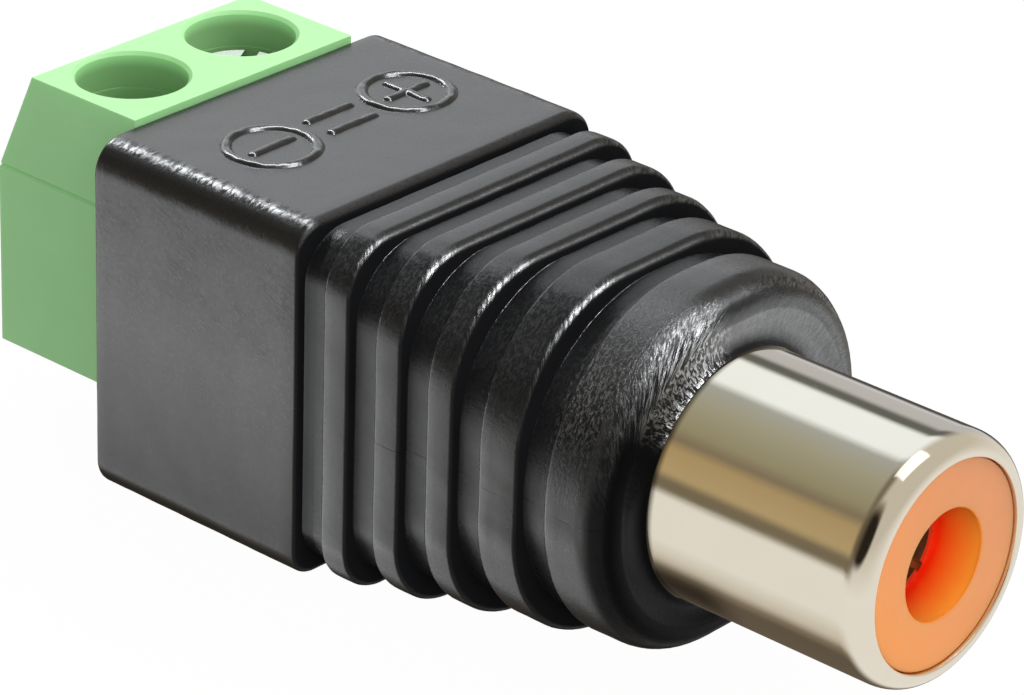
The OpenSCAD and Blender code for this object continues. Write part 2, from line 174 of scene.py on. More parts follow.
# A node tree, with short names for the nodes that the materials use
class Graph:
    def __init__(self, tree):
        self.tree = tree
        tree.nodes.clear()

    def put(self, value, socket):
        if isinstance(value, bpy.types.NodeSocket):
            self.tree.links.new(value, socket)
        else:
            is_colour = socket.type == "RGBA" and isinstance(value, tuple) and len(value) == 3
            socket.default_value = (*value, 1) if is_colour else value

    def node(self, kind, inputs=None, **props):
        n = self.tree.nodes.new(kind)
        for k, v in props.items():
            setattr(n, k, v)
        for k, v in (inputs or {}).items():
            self.put(v, n.inputs[k])
        return n

    # Places on the object, in millimetres unless a scale is given
    def coords(self, scale=(1 / MM, 1 / MM, 1 / MM)):
        place = self.node("ShaderNodeTexCoord").outputs["Object"]
        return self.node("ShaderNodeMapping", {"Vector": place, "Scale": scale}).outputs[0]

    def split(self, vector):
        return self.node("ShaderNodeSeparateXYZ", {"Vector": vector}).outputs

    def join(self, x, y, z=0.0):
        return self.node("ShaderNodeCombineXYZ", {"X": x, "Y": y, "Z": z}).outputs[0]

    def attribute(self, name):
        return self.node("ShaderNodeAttribute", attribute_name=name).outputs["Fac"]

    def noise(self, vector, scale, detail, rough, distortion=0.0):
        return self.node("ShaderNodeTexNoise", {"Vector": vector, "Scale": scale, "Detail": detail,
                                                "Roughness": rough, "Distortion": distortion}).outputs[0]

    def maths(self, op, *values):
        n = self.node("ShaderNodeMath", operation=op)
        for v, socket in zip(values, n.inputs):
            self.put(v, socket)
        return n.outputs[0]

    def plus(self, a, b):
        return self.maths("ADD", a, b)

    def minus(self, a, b):
        return self.maths("SUBTRACT", a, b)

    def size(self, a):
        return self.maths("ABSOLUTE", a)

    def times(self, first, *others):
        for v in others:
            first = self.maths("MULTIPLY", first, v)
        return first

    # One less the value, or one less a share of it
    def rest(self, a, share=None):
        return self.minus(1.0, self.times(a, share) if share else a)

    def length(self, a, b):
        return self.maths("SQRT", self.plus(self.maths("POWER", a, 2.0), self.maths("POWER", b, 2.0)))

    def ranged(self, v, a, b, c, d, kind="LINEAR"):
        ends = {"From Min": a, "From Max": b, "To Min": c, "To Max": d}
        n = self.node("ShaderNodeMapRange", {"Value": v, **ends}, interpolation_type=kind, clamp=True)
        return n.outputs[0]

    def smooth(self, v, a, b, c, d):
        return self.ranged(v, a, b, c, d, "SMOOTHSTEP")

    def ramp(self, v, stops):
        n = self.node("ShaderNodeValToRGB", {"Fac": v})
        elements = n.color_ramp.elements
        while len(elements) < len(stops):
            elements.new(0.5)
        for i, (place, colour) in enumerate(stops):
            elements[i].position = place
            elements[i].color = (*colour, 1)
        return n.outputs[0]

    def mix(self, fac, a, b, kind="RGBA"):
        n = self.node("ShaderNodeMix", data_type=kind)
        for v, socket in zip((fac, a, b), [s for s in n.inputs if s.enabled]):
            self.put(v, socket)
        return [s for s in n.outputs if s.enabled][0]

    def blend(self, fac, a, b):
        return self.mix(fac, a, b, "FLOAT")

    def bumps(self, *layers):
        last = None
        for height, distance, strength in layers:
            n = self.node("ShaderNodeBump", {"Height": height, "Distance": distance * MM,
                                             "Strength": strength})
            if last:
                self.put(last, n.inputs["Normal"])
            last = n.outputs[0]
        return last


# A new material with its graph and its shader
def material(name):
    m = bpy.data.materials.new(name)
    m.use_nodes = True
    g = Graph(m.node_tree)
    out = g.node("ShaderNodeOutputMaterial")
    shader = g.node("ShaderNodeBsdfPrincipled")
    g.put(shader.outputs[0], out.inputs[0])
    return m, g, shader


# A shader's colour, roughness, bump and fixed values
def dress(g, shader, colour, rough, bump, **fixed):
    g.put(colour, shader.inputs["Base Color"])
    g.put(rough, shader.inputs["Roughness"])
    g.put(bump, shader.inputs["Normal"])
    for name, value in fixed.items():
        shader.inputs[name.replace("_", " ")].default_value = value


# Outline of the housing at rib k, as in the part's source
def outline(k):
    u = k / (RIBS + 1)
    r = EDGE_R + (NOSE_EDGE_R - EDGE_R) * u * (1 - RIB_CURVE * (1 - u))
    return (HOUSING_W + (NOSE_W - HOUSING_W) * u) / 2, (HOUSING_H + (NOSE_H - HOUSING_H) * u) / 2, r


# Share of a row's depth and set-back that is left where the outline faces sideways: on a front edge, with
# back above 0, and in a groove, with back below 0
def less(sideways, back):
    return 1 - (SIDE_LESS if back > 0 else FLOOR_LESS if back < 0 else 0) * sideways ** 2


# Points of one ring: place, the strength of the grain there and the way round so far. The ring lies d under
# the outline of rib k, and back from the rib's end
def ring(x, k, d, back=0.0):
    hy, hz, r = outline(k)

    def spot(corner, turn):
        sy, sz = (1 if corner in (0, 3) else -1), (1 if corner < 2 else -1)
        f = less(math.cos(turn), back)
        return (sy * (hy - r) + (r - d * f) * math.cos(turn), sz * (hz - r) + (r - d * f) * math.sin(turn),
                max(0.0, back) * (1 - f))

    pts = []
    for c in range(4):
        for i in range(CORNER + 1):
            y, z, forward = spot(c, math.radians(90 * (c + i / CORNER)))
            grain = math.sin(math.pi * i / CORNER) ** GRAIN_POWER * (1.0 if c < 2 else GRAIN_BELOW)
            pts.append((y, z, grain, forward))
        end = spot((c + 1) % 4, math.radians(90 * (c + 1)))
        for u in [i / FLAT for i in range(1, FLAT)]:
            pts.append((y + (end[0] - y) * u, z + (end[1] - z) * u, 0.0, forward))
    out, way = [], 0.0
    for i, (y, z, grain, forward) in enumerate(pts):
        way += math.hypot(y - pts[i - 1][0], z - pts[i - 1][1]) if i else 0.0
        out.append((x + forward, y, HOUSING_H / 2 + z, grain, way))
    return out


# Rows of one piece from x0 to x1, with its back end rounded by q0 and its front end by q1
def piece(k, x0, x1, q0, q1, front_steps=8):
    rows = [(x0 + q0 * (1 - c), k, q0 * (1 - s)) for c, s in quarter(6)]
    n = max(1, round((x1 - x0 - q0 - q1) / ROW_STEP))
    rows += [(x0 + q0 + (x1 - q1 - x0 - q0) * i / n, k, 0) for i in range(1, n)]
    for c, s in quarter(front_steps):
        back = max(1e-6, q1 * (1 - s))
        rows.append((x1 - back, k, q1 * (1 - c), back if q1 == RIB_EDGE_R else 0.0))
    return rows


# Rows of the back half, the middle and the front half of the groove before rib k, which starts at x
def groove(k, x):
    fillet = [(FLOOR_FILLET * (1 - c), FLOOR_FILLET * (1 - s)) for c, s in quarter(FILLET_STEPS)]
    middle = [(x + GROOVE / 2, k, GROOVE_D, -1)]
    back_half = [(x + a, k, GROOVE_D - b, -1) for a, b in fillet]
    front_half = [(x + GROOVE - b, k, GROOVE_D - a, -1) for a, b in fillet]
    return back_half, middle, front_half


def block_rows():
    half_groove = [(BLOCK_X, 1, GROOVE_D, -1)] + groove(1, BLOCK_X)[1]
    return piece(0, BACK_X, BLOCK_X, BACK_EDGE_R, RIB_EDGE_R) + half_groove


def rib_rows():
    rows, x = groove(1, BLOCK_X)[1], BLOCK_X
    for k in range(1, RIBS + 1):
        back_half, _, front_half = groove(k, x)
        rows += (back_half if k > 1 else []) + front_half
        end = x + GROOVE + (LAST_RIB if k == RIBS else RIB)
        rows += piece(k, x + GROOVE, end, RIB_EDGE_R / 2, RIB_EDGE_R)
        x = end
    back_half, middle, _ = groove(RIBS + 1, x)
    return rows + back_half + middle


def nose_rows():
    _, middle, front_half = groove(RIBS + 1, NOSE_X - GROOVE)
    return middle + front_half + piece(RIBS + 1, NOSE_X, FACE_X, RIB_EDGE_R / 2, SHOULDER_R, SHOULDER_STEPS)


# Slight unevenness of the moulding, never outwards
def sway(x, y, z):
    p = Vector((x, y, z))
    return 0.012 * noise.noise(p * 0.9) + 0.006 * noise.noise(p * 3.1 + Vector((5, 2, 8))) - 0.014


# The nose's face, from the shoulder to the shell: a shallow hollow and a fillet, as (way in, depth)
FACE_DIPS = ((0.08, 0.008), (0.16, 0.025), (0.25, 0.05), (0.34, 0.075), (0.43, 0.095), (0.52, 0.11),
             (0.61, 0.12), (0.7, 0.12), (0.78, 0.11), (0.86, 0.085), (0.93, 0.05), (1.0, 0.0), (1.0, 0.17))


# Skin through the rows, with what the vinyl reads at each point: grain, way round, and 1 on a groove's floor
def skin(name, rows, closed_back=False, face=False):
    pts, grain, around, deep = [], [], [], []
    n = 4 * (CORNER + FLAT)
    for row in rows:
        for x, y, z, w, way in ring(*row):
            m = sway(x, y, z)
            s = math.hypot(y, z - HOUSING_H / 2)
            z += m * (z - HOUSING_H / 2) / s
            pts.append((x, y + m * y / s, max(0.0, z)))
            grain.append(w)
            around.append(way)
            deep.append(1.0 if row[2] > GROOVE_D - FLOOR_NEAR else 0.0)
    total = len(rows)
    if face:
        for u, dip in FACE_DIPS:
            total += 1
            for x, y, z, w, way in ring(*rows[-1]):
                a = math.atan2(z - AXIS_H, y)
                ty, tz = HOLE_R * math.cos(a), AXIS_H + HOLE_R * math.sin(a)
                pts.append((FACE_X - dip, y + (ty - y) * u, z + (tz - z) * u))
                grain.append(w)
                around.append(way)
                deep.append(0.0)
    faces = strip_faces(total, n) + ([tuple(reversed(range(n)))] if closed_back else [])
    ob = add_mesh(name, pts, faces)
    sharpen(ob, SKIN_SHARP)
    for label, values in (("grain", grain), ("around", around), ("deep", deep)):
        ob.data.attributes.new(label, "FLOAT", "POINT").data.foreach_set("value", values)
    return ob


# Lines of the marks beside their rings, in millimetres from the middle: a sign, a crossed one and two bars
MARK_LINES = ((0, -RING_Y - SIGN_HALF, 0, -RING_Y + SIGN_HALF),
              (0, RING_Y - SIGN_HALF, 0, RING_Y + SIGN_HALF), (-SIGN_HALF, RING_Y, SIGN_HALF, RING_Y),
              (-BAR_X, -BAR_HALF, -BAR_X, BAR_HALF), (BAR_X, -BAR_HALF, BAR_X, BAR_HALF))


# Distance from a place to a line
def off_line(x, y, ax, ay, bx, by):
    t = max(0, min(1, ((x - ax) * (bx - ax) + (y - ay) * (by - ay)) / ((bx - ax) ** 2 + (by - ay) ** 2)))
    return math.hypot(x - ax - t * (bx - ax), y - ay - t * (by - ay))


def mark_height(x, y):
    u, v = x - MARK_X, y - MARK_Y
    waver = 0.03 * noise.noise(Vector((x * 1.3, y * 1.3, 3.0)))
    off_ring = abs(math.hypot(u, abs(v) - RING_Y) - RING_R - waver)
    off = min(off_ring, *[off_line(u, v, *line) for line in MARK_LINES])
    s = max(0.0, 1 - off / LINE_HALF) ** 0.8
    return LINE_H * s * (2 - s) * (1 + 0.2 * noise.noise(Vector((x * 2.6, y * 2.6, 7.0))))


# The raised polarity marks, with no more of the top face than they stand on
def marks_patch():
    x0, y0 = MARK_X - PATCH_X, MARK_Y - PATCH_Y
    nx, ny = round(2 * PATCH_X / MARK_STEP), round(2 * PATCH_Y / MARK_STEP)
    beside = [(a * MARK_STEP, b * MARK_STEP) for a in (-1, 0, 1) for b in (-1, 0, 1)]
    spots, pts, faces = {}, [], []
    for i in range(nx + 1):
        for j in range(ny + 1):
            x, y = x0 + MARK_STEP * i, y0 + MARK_STEP * j
            h = mark_height(x, y)
            if h > 0 or max(mark_height(x + a, y + b) for a, b in beside) > 0:
                spots[i, j] = len(pts)
                pts.append((x, y, HOUSING_H + sway(x, y, HOUSING_H) + h - MARK_SINK))
    for i, j in spots:
        corners = [(i, j), (i + 1, j), (i + 1, j + 1), (i, j + 1)]
        if all(c in spots for c in corners):
            faces.append([spots[c] for c in corners])
    ob = add_mesh("polarity_marks", pts, faces)
    if sum(f.normal.z for f in ob.data.polygons) < 0:
        ob.data.flip_normals()
    return ob


# Socket pieces, as closed outlines of x and radius
def shell_mesh():
    rim_back = RIM_X - RIM_LEN
    out = [(FLANGE_X, SPIGOT_R + FIT), (FLANGE_X, FLANGE_R), (SHELL_BORE_X, FLANGE_R), (SHELL_BORE_X, ROOT_R),
           (ROOT_X, ROOT_R), (ROOT_X, SHELL_R)]
    out += [(ROOT_X + (rim_back - ROOT_X) * i / 6, SHELL_R) for i in range(1, 6)]
    out += [(RIM_X - RIM_LEN * (1 - s), SHELL_R - RIM_DROP * (1 - c)) for c, s in quarter(20)]
    out += arc(RIM_X - RIM_INNER_R, SHELL_BORE_R + RIM_INNER_R, RIM_INNER_R, 0, -90, 5)
    out += [(INSULATOR_X - RIM_INSIDE, SHELL_BORE_R), (SHELL_BORE_X, SHELL_BORE_R)]
    return revolve("shell_plated", out + [(SHELL_BORE_X, SPIGOT_R + FIT)], SHELL_STEPS)


def insulator_mesh():
    r, q, edge_x = SHELL_BORE_R - FIT, FACE_EDGE_R, INSULATOR_X - FACE_EDGE_R
    out = [(SHELL_BORE_X, r), (edge_x, r)] + arc(edge_x, r - q, q, 90, 0, 4)[1:]
    out += [(INSULATOR_X, face_r) for face_r in FACE_RINGS] + arc(edge_x, ENTRY_R + q, q, 0, -90, 6)
    out += [(edge_x - BORE_SKIN, ENTRY_R + FIT), (CONTACT_X, ENTRY_R + FIT), (CONTACT_X, CONTACT_R + FIT),
            (CONTACT_X - CONTACT_LEN - FIT, CONTACT_R + FIT), (CONTACT_X - CONTACT_LEN - FIT, TAIL_R + FIT),
            (LUG_X, TAIL_R + FIT), (LUG_X, SPIGOT_R), (SHELL_BORE_X, SPIGOT_R)]
    return revolve("insulator_moulded", out, DISC_STEPS)


# The wall of the entry hole, a piece by itself so that it can have its own lamp
def bore_mesh():
    edge_x = INSULATOR_X - FACE_EDGE_R
    rows = [edge_x - (edge_x - CONTACT_X) * i / 8 for i in range(9)]
    out = [(x, ENTRY_R) for x in rows] + [(x, ENTRY_R + BORE_SKIN) for x in reversed(rows)]
    return revolve("insulator_bore", out, DISC_STEPS)


# Where on the housing a point of the vinyl lies, and which way it faces
def vinyl_places(g):
    s = SimpleNamespace(v=g.coords())
    s.x, s.y, s.z = g.split(s.v)
    s.face_x, s.face_y, s.face_z = g.split(g.node("ShaderNodeTexCoord").outputs["Normal"])
    s.grain, s.around, s.deep = [g.attribute(name) for name in ("grain", "around", "deep")]
    s.out = g.length(s.y, g.minus(s.z, AXIS_H))
    s.lean = g.maths("ARCTAN2", g.minus(s.z, AXIS_H), g.times(s.y, -1.0))
    s.is_block = g.ranged(s.x, BLOCK_X + 0.1, BLOCK_X - 0.1, 0, 1)
    s.is_nose = g.ranged(s.x, NOSE_X - 0.4, NOSE_X - 0.2, 0, 1)
    s.no_block, s.no_nose = g.rest(s.is_block), g.rest(s.is_nose)
    s.on_side = g.times(g.ranged(s.z, 5.0, 9.0, 0, 1), g.ranged(g.size(s.y), 6.6, 6.75, 0, 1), s.is_block)
    return s


# Strokes across the block's long edges and the front edges, leather's grain, slanting wrinkles and the seam
def vinyl_textures(g, s):
    fast = g.blend(s.is_block, s.around, s.x)
    slow = g.blend(s.is_block, g.minus(s.x, s.out), s.around)
    s.fine = g.noise(s.v, 9.0, 4.0, 0.65)
    s.broad = g.noise(s.v, 0.6, 3.0, 0.5)
    s.grit = g.noise(s.v, 7.0, 4.0, 0.7)
    lines = g.join(g.times(fast, g.blend(s.is_block, 7.5, 6.2)), g.times(slow, g.blend(s.is_nose, 2.2, 3.4)))
    s.strokes = g.noise(lines, 1.0, 3.0, 0.6, 0.5)
    glint = g.ranged(s.strokes, 0.44, 0.56, g.blend(s.is_block, 0.3, 0.0), g.blend(s.is_block, 2.4, 1.9))
    s.glint = g.times(glint, g.ranged(g.noise(s.v, 1.6, 3.0, 0.6), 0.35, 0.6, 0.35, 1.1))
    s.specks = g.noise(g.join(g.times(fast, 8.0), g.times(slow, 4.5), 1.7), 1.0, 2.0, 0.6, 0.3)
    s.hide = g.noise(g.join(g.times(s.around, 5.0), g.times(slow, 10.0)), 1.0, 4.0, 0.7, 0.6)
    s.wrinkles = g.noise(g.join(g.times(s.around, 7.0), g.times(s.out, 3.0)), 1.0, 3.0, 0.65, 0.8)

    slant = g.noise(g.join(g.minus(g.times(s.x, 0.85), g.times(s.z, 0.35)),
                           g.plus(g.times(s.x, 1.8), g.times(s.z, 4.4))), 1.0, 2.0, 0.5, 0.2)
    s.slant = g.times(g.ranged(g.size(g.minus(slant, 0.5)), 0.0, 0.03, 1, 0),
                      g.ranged(g.noise(s.v, 0.7, 2.0, 0.5), 0.42, 0.55, 0, 1), s.on_side)
    s.seam = g.times(g.smooth(g.size(g.minus(s.z, HOUSING_H / 2)), 0.01, 0.035, 1, 0),
                     g.ranged(g.size(s.y), 5.9, 6.1, 0, 1),
                     g.ranged(s.x, BLOCK_X + 0.95, BLOCK_X + 1.2, 0, 1),
                     g.ranged(g.noise(s.v, 1.1, 2.0, 0.5), 0.45, 0.55, 0.0, 0.7))


def vinyl_bump(g, s):
    hide = g.times(s.grain, s.no_block, g.blend(s.is_nose, 0.35, g.ranged(s.y, 0.5, 2.5, 0.8, 0.2)))
    return g.bumps((s.broad, 0.05, 0.2),
                   (s.fine, 0.005, 0.3),
                   (s.specks, 0.008, g.times(s.grain, s.no_block, 0.6)),
                   (s.strokes, 0.03, g.times(s.grain, g.blend(s.is_nose, 0.5, 0.25))),
                   (s.grit, 0.012, g.times(s.on_side, 0.4)),
                   (s.hide, 0.045, hide),
                   (s.slant, -0.008, 0.4),
                   (s.seam, -0.015, 0.35))


# Black, darker in the seam, with painted shade low on the nose's face
def vinyl_colour(g, s):
    # Painted shade: the lower part of the nose's face is darkened to near black
    low = g.times(s.is_nose, g.ranged(s.face_x, 0.4, 0.8, 0, 0.75), g.smooth(s.lean, 0.4, 0.9, 1, 0))
    col = g.mix(s.broad, (0.0140, 0.0145, 0.0158), (0.0200, 0.0206, 0.0222))
    col = g.mix(g.times(s.seam, 0.5), col, (0.003, 0.003, 0.003))
    return g.mix(low, col, (0.002, 0.002, 0.0025))


# How much each part shines: painted shade as gloss turned down on the corners, walls and undersides, and
# bright strokes at the front edges
def vinyl_sheen(g, s):
    edge = g.ranged(g.size(s.face_x), 0.12, 0.35, 0, 1)
    wider = g.times(s.is_block, 0.1)
    high, low = g.plus(s.face_z, wider), g.minus(s.face_z, wider)
    upper = g.blend(s.is_nose, g.smooth(high, 0.9, 0.99, 1, 0), g.ranged(high, 0.5, 0.93, 1, 0))
    dull = g.times(g.smooth(low, 0.08, 0.45, 0, 1), upper, g.rest(edge))
    points = g.times(g.ranged(s.hide, 0.47, 0.58, 0.12, g.ranged(s.y, 0.5, 2.5, 3.6, 0.3)),
                     g.ranged(s.face_z, 0.28, 0.62, 0.15, 1.0))
    flat = g.blend(s.is_block, g.ranged(s.hide, 0.44, 0.6, 0.14, 0.55), 0.6)
    striped = g.blend(s.is_block, edge, g.ranged(s.face_z, 0.7, 0.85, 0, 1))
    shoulder = g.times(g.ranged(s.face_x, 0.35, 0.55, 0, 1), g.ranged(s.face_x, 0.82, 0.95, 1, 0))
    sheen = g.blend(g.times(s.grain, g.blend(s.is_nose, striped, shoulder)), 1.0, s.glint)
    sheen = g.blend(dull, sheen, g.blend(s.is_nose, flat, points))
    # Painted shade: the groove walls, the sides of the front edges and the undersides lose their gloss
    wall = g.times(g.ranged(s.face_x, 0.8, 0.95, 0, 1), s.no_nose)
    under = g.times(g.ranged(s.face_x, 0.3, 0.5, 0, 1), g.ranged(s.face_z, 0.45, 0.1, 0, 0.8))
    underside_shade = g.ranged(s.face_z, -0.7, -0.1, 0.05, 1.0)
    return g.times(sheen, g.rest(wall), g.rest(under), underside_shade, g.rest(s.seam, 0.5))


# The nose's face, all painted in its gloss: the shell's reflection as wrinkles that shine beside the socket,
# a soft sheen above it, and shade below
def vinyl_face(g, s, sheen):
    on_face = g.times(s.is_nose, g.smooth(s.face_x, 0.76, 0.92, 0, 1))
    on_face = g.maths("MAXIMUM", on_face, g.ranged(s.out, 5.1, 4.9, 0, 1))
    on_face = g.times(on_face, g.ranged(s.x, FACE_X - 0.6, FACE_X - 0.4, 0, 1))
    beside = g.times(g.smooth(s.lean, 0.5, 0.75, 0, 1), g.smooth(s.lean, 1.2, 1.5, 1, 0))
    over = g.times(g.smooth(s.lean, 1.05, 1.35, 0, 1), g.ranged(s.out, 4.3, 4.8, 0.1, 0.9))
    shine = g.plus(g.times(beside, g.ranged(s.wrinkles, 0.48, 0.58, 0.1, 7.5)),
                   g.times(over, g.ranged(s.wrinkles, 0.35, 0.65, 0.7, 1.15)))
    return g.blend(on_face, sheen, g.plus(shine, 0.03))


# Painted shade and light in the gloss: the tops grow darker towards the nose, the block's side is brightest
# at half height, and the groove floors are dimmer
def vinyl_fall(g, s, sheen):
    top = g.times(s.no_block, s.no_nose, g.ranged(s.face_z, 0.75, 0.9, 0, 1))
    side = g.times(s.is_block, g.ranged(g.size(s.face_y), 0.8, 0.95, 0, 1))
    by_height = g.times(g.ranged(s.z, 1.5, 6.5, 0.74, 1.34), g.ranged(s.z, 7.0, 11.0, 1.0, 0.80),
                        g.ranged(s.x, BLOCK_X - 4.0, BLOCK_X, 1.0, 1.1))
    return g.times(sheen, g.blend(top, 1.0, g.ranged(s.x, BLOCK_X, NOSE_X, 0.93, 0.60)),
                   g.blend(side, 1.0, by_height),
                   g.blend(s.on_side, 1.0, g.ranged(s.grit, 0.35, 0.65, 0.88, 1.1)),
                   g.rest(s.slant, 0.22), g.rest(s.deep, 0.45))


# Materials
def black_vinyl(name, rough, marks=False):
    m, g, shader = material(name)
    s = vinyl_places(g)
    vinyl_textures(g, s)
    dress(g, shader, vinyl_colour(g, s), g.ranged(s.fine, 0.3, 0.7, *rough), vinyl_bump(g, s), IOR=1.5)
    if marks:
        shader.inputs["Specular IOR Level"].default_value = 0.42
    else:
        sheen = vinyl_fall(g, s, vinyl_face(g, s, vinyl_sheen(g, s)))
        g.put(g.times(sheen, 0.35), shader.inputs["Specular IOR Level"])
    return m


# Green, with painted shade that darkens it down the screw wells
def green_nylon():
    m, g, shader = material("green_nylon")
    v = g.coords()
    x, y, z = g.split(v)
    cloudy, fine = g.noise(v, 0.7, 3.0, 0.5), g.noise(v, 14.0, 3.0, 0.6)
    off = g.length(g.minus(x, SCREW_X), g.minus(g.size(y), POLE_Y))
    # Painted shade: the colour is darkened inside the screw wells
    well_shade = g.times(g.ranged(off, 2.15, 2.0, 0, 1), g.smooth(z, GREEN_TOP - 0.1, GREEN_TOP - 0.6, 0, 1))
    col = g.mix(cloudy, (0.40, 0.80, 0.355), (0.44, 0.86, 0.395))
    dress(g, shader, g.mix(well_shade, col, (0.25, 0.48, 0.205)), g.ranged(fine, 0.3, 0.7, 0.42, 0.52),
          g.bumps((cloudy, 0.03, 0.2), (fine, 0.004, 0.25)),
          Subsurface_Weight=0.25, Subsurface_Radius=(0.6, 1.0, 0.5), Subsurface_Scale=0.5 * MM)
    return m


# Nickel with fine marks along the shell, dark where it stands in the nose's shadow
def nickel():
    m, g, shader = material("nickel_plate")
    v = g.coords()
    x, _, z = g.split(v)
    cloudy, pits = g.noise(v, 0.5, 4.0, 0.55), g.noise(v, 7.0, 2.0, 0.5)
    drawn = g.noise(g.coords((260, 2200, 2200)), 1.6, 3.0, 0.6)
    low = g.times(g.smooth(z, 5.1, 3.6, 0, 1), g.smooth(x, FACE_X + 1.7, FACE_X + 3.6, 0.96, 0))
    root = g.smooth(x, FACE_X, FACE_X + 0.25, 0.8, 0)
    col = g.mix(cloudy, (0.86, 0.84, 0.78), (0.82, 0.79, 0.71))
    dress(g, shader, g.mix(g.maths("MAXIMUM", low, root), col, (0.04, 0.03, 0.02)),
          g.ranged(drawn, 0.3, 0.75, 0.055, 0.11),
          g.bumps((drawn, 0.004, 0.2), (g.ranged(pits, 0.72, 0.8, 0, 1), 0.004, 0.25)), Metallic=1.0)
    return m


# Orange, with a painted glow that makes it brighter and more yellow towards the lower edge, and painted shade
# that turns it a deep red down the entry hole
def orange_plastic():
    m, g, shader = material("orange_plastic")
    v = g.coords()
    x, y, z = g.split(v)
    cloudy, fine = g.noise(v, 0.8, 3.0, 0.5), g.noise(v, 12.0, 3.0, 0.6)
    # Painted glow: the face is brighter towards its lower, near edge
    face = g.mix(g.ranged(g.plus(z, y), 10.0, 2.0, 0, 1), (0.83, 0.335, 0.15), (1.0, 0.355, 0.10))
    face = g.mix(g.ranged(cloudy, 0.3, 0.7, 0, 0.2), face, (1.0, 0.42, 0.16))
    inside = g.ranged(g.length(y, g.minus(z, AXIS_H)), 1.9, 1.84, 0, 1)
    # Painted shade: the hole's wall turns from orange to deep red the further in it lies
    hole_shade = g.ranged(x, INSULATOR_X - 0.2, INSULATOR_X - 1.6, 0, 1)
    wall = g.mix(hole_shade, (1.0, 0.27, 0.02), (1.0, 0.014, 0.0))
    dress(g, shader, g.mix(inside, face, wall), g.ranged(fine, 0.3, 0.7, 0.42, 0.55),
          g.bumps((cloudy, 0.02, 0.2), (fine, 0.003, 0.25)),
          Subsurface_Weight=0.35, Subsurface_Radius=(1.0, 0.35, 0.12), Subsurface_Scale=0.9 * MM)
    return m


def metal(name, dark, light, rough):
    m, g, shader = material(name)
    v = g.coords()
    cloudy, fine = g.noise(v, 5.0, 4.0, 0.6), g.noise(v, 15.0, 3.0, 0.6)
    dress(g, shader, g.mix(cloudy, dark, light), g.ranged(fine, 0.3, 0.7, *rough),
          g.bumps((fine, 0.004, 0.35)), Metallic=1.0)
    return m


def laminate():
    m, g, shader = material("laminate")
    grain = g.noise(g.coords(), 4.0, 4.0, 0.6)
    dress(g, shader, g.mix(grain, (0.10, 0.045, 0.02), (0.17, 0.08, 0.035)),
          g.ranged(grain, 0.3, 0.7, 0.5, 0.65), g.bumps((grain, 0.01, 0.3)))
    return m


vinyl = black_vinyl("black_vinyl", (0.25, 0.35))
mark_vinyl = black_vinyl("black_vinyl_marks", (0.21, 0.27), marks=True)
nylon, plate, orange = green_nylon(), nickel(), orange_plastic()
zinc = metal("zinc", (0.62, 0.63, 0.65), (0.82, 0.83, 0.85), (0.22, 0.36))
pressed = metal("pressed_steel", (0.55, 0.55, 0.54), (0.74, 0.74, 0.72), (0.28, 0.42))
brass = metal("brass", (0.62, 0.42, 0.16), (0.78, 0.56, 0.26), (0.2, 0.34))
pin_brass = metal("contact_brass", (0.60, 0.40, 0.17), (0.80, 0.58, 0.30), (0.38, 0.5))
tin = metal("tinned", (0.6, 0.6, 0.6), (0.8, 0.8, 0.8), (0.25, 0.4))
board = laminate()


# Pieces
def place(ob, mat, body, slot, *replaced):
    ob.data.materials.clear()
    ob.data.materials.append(mat)
    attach(ob, body)
    if replaced:
        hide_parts(*replaced)
    return ob


block = place(skin("housing_block", block_rows(), closed_back=True), vinyl, "root", "housing", "housing")
ribs = place(skin("housing_ribs", rib_rows()), vinyl, "root", "housing")
nose = place(skin("housing_nose", nose_rows(), face=True), vinyl, "root", "housing")
marks = place(marks_patch(), mark_vinyl, "root", "housing")
black_parts = [block, ribs, nose, marks]

# The nose stays out of the shell's gloss, whose material has its shadow
nose.visible_glossy = False
shell = place(shell_mesh(), plate, "root", "jack_shell", "jack_shell")
insulator = place(insulator_mesh(), orange, "root", "jack_insulator", "jack_insulator")
bore = place(bore_mesh(), orange, "root", "jack_insulator")
green = place(eased("terminal_body", "terminal_moulded", 0.05), nylon,
              "root", "terminal_body", "terminal_body")
heads = []
for side in ("minus", "plus"):
    heads.append(place(eased("screw_" + side, "screw_head_" + side, 0.04), zinc,
                       "screw_%s_body" % side, "screws", "screw_" + side))
    place(eased("clamp_" + side, "cage_" + side, 0.05), pressed,
          "clamp_%s_body" % side, "clamps", "clamp_" + side)
for name, mat in (("contact_bar_minus", brass), ("contact_bar_plus", brass), ("centre_contact", pin_brass),
                  ("rear_washer", board), ("ground_lug", tin), ("link_minus", tin), ("link_plus", tin)):
    nodes[name].data.materials.clear()
    nodes[name].data.materials.append(mat)

# Camera at the photograph's viewpoint
AZIMUTH, ELEVATION, ROLL, LENS = math.radians(41.224), math.radians(26.505), math.radians(1.902), 176.283
EYE = Vector((0.094162, -0.106974, 0.077979))
back = Vector((math.sin(AZIMUTH) * math.cos(ELEVATION), -math.cos(AZIMUTH) * math.cos(ELEVATION),
               math.sin(ELEVATION)))
level = Vector((math.cos(AZIMUTH), math.sin(AZIMUTH), 0))
upright = back.cross(level)
right = math.cos(ROLL) * level + math.sin(ROLL) * upright
up = -math.sin(ROLL) * level + math.cos(ROLL) * upright
cam_data = bpy.data.cameras.new("camera")
cam = bpy.data.objects.new("camera", cam_data)
bpy.context.scene.collection.objects.link(cam)
cam.matrix_world = Matrix((*[(right[i], up[i], back[i], EYE[i]) for i in range(3)], (0, 0, 0, 1)))
cam_data.sensor_width = 36
cam_data.sensor_fit = "HORIZONTAL"
cam_data.lens = LENS
cam_data.clip_start = 0.005
cam_data.clip_end = 10
bpy.context.scene.camera = cam

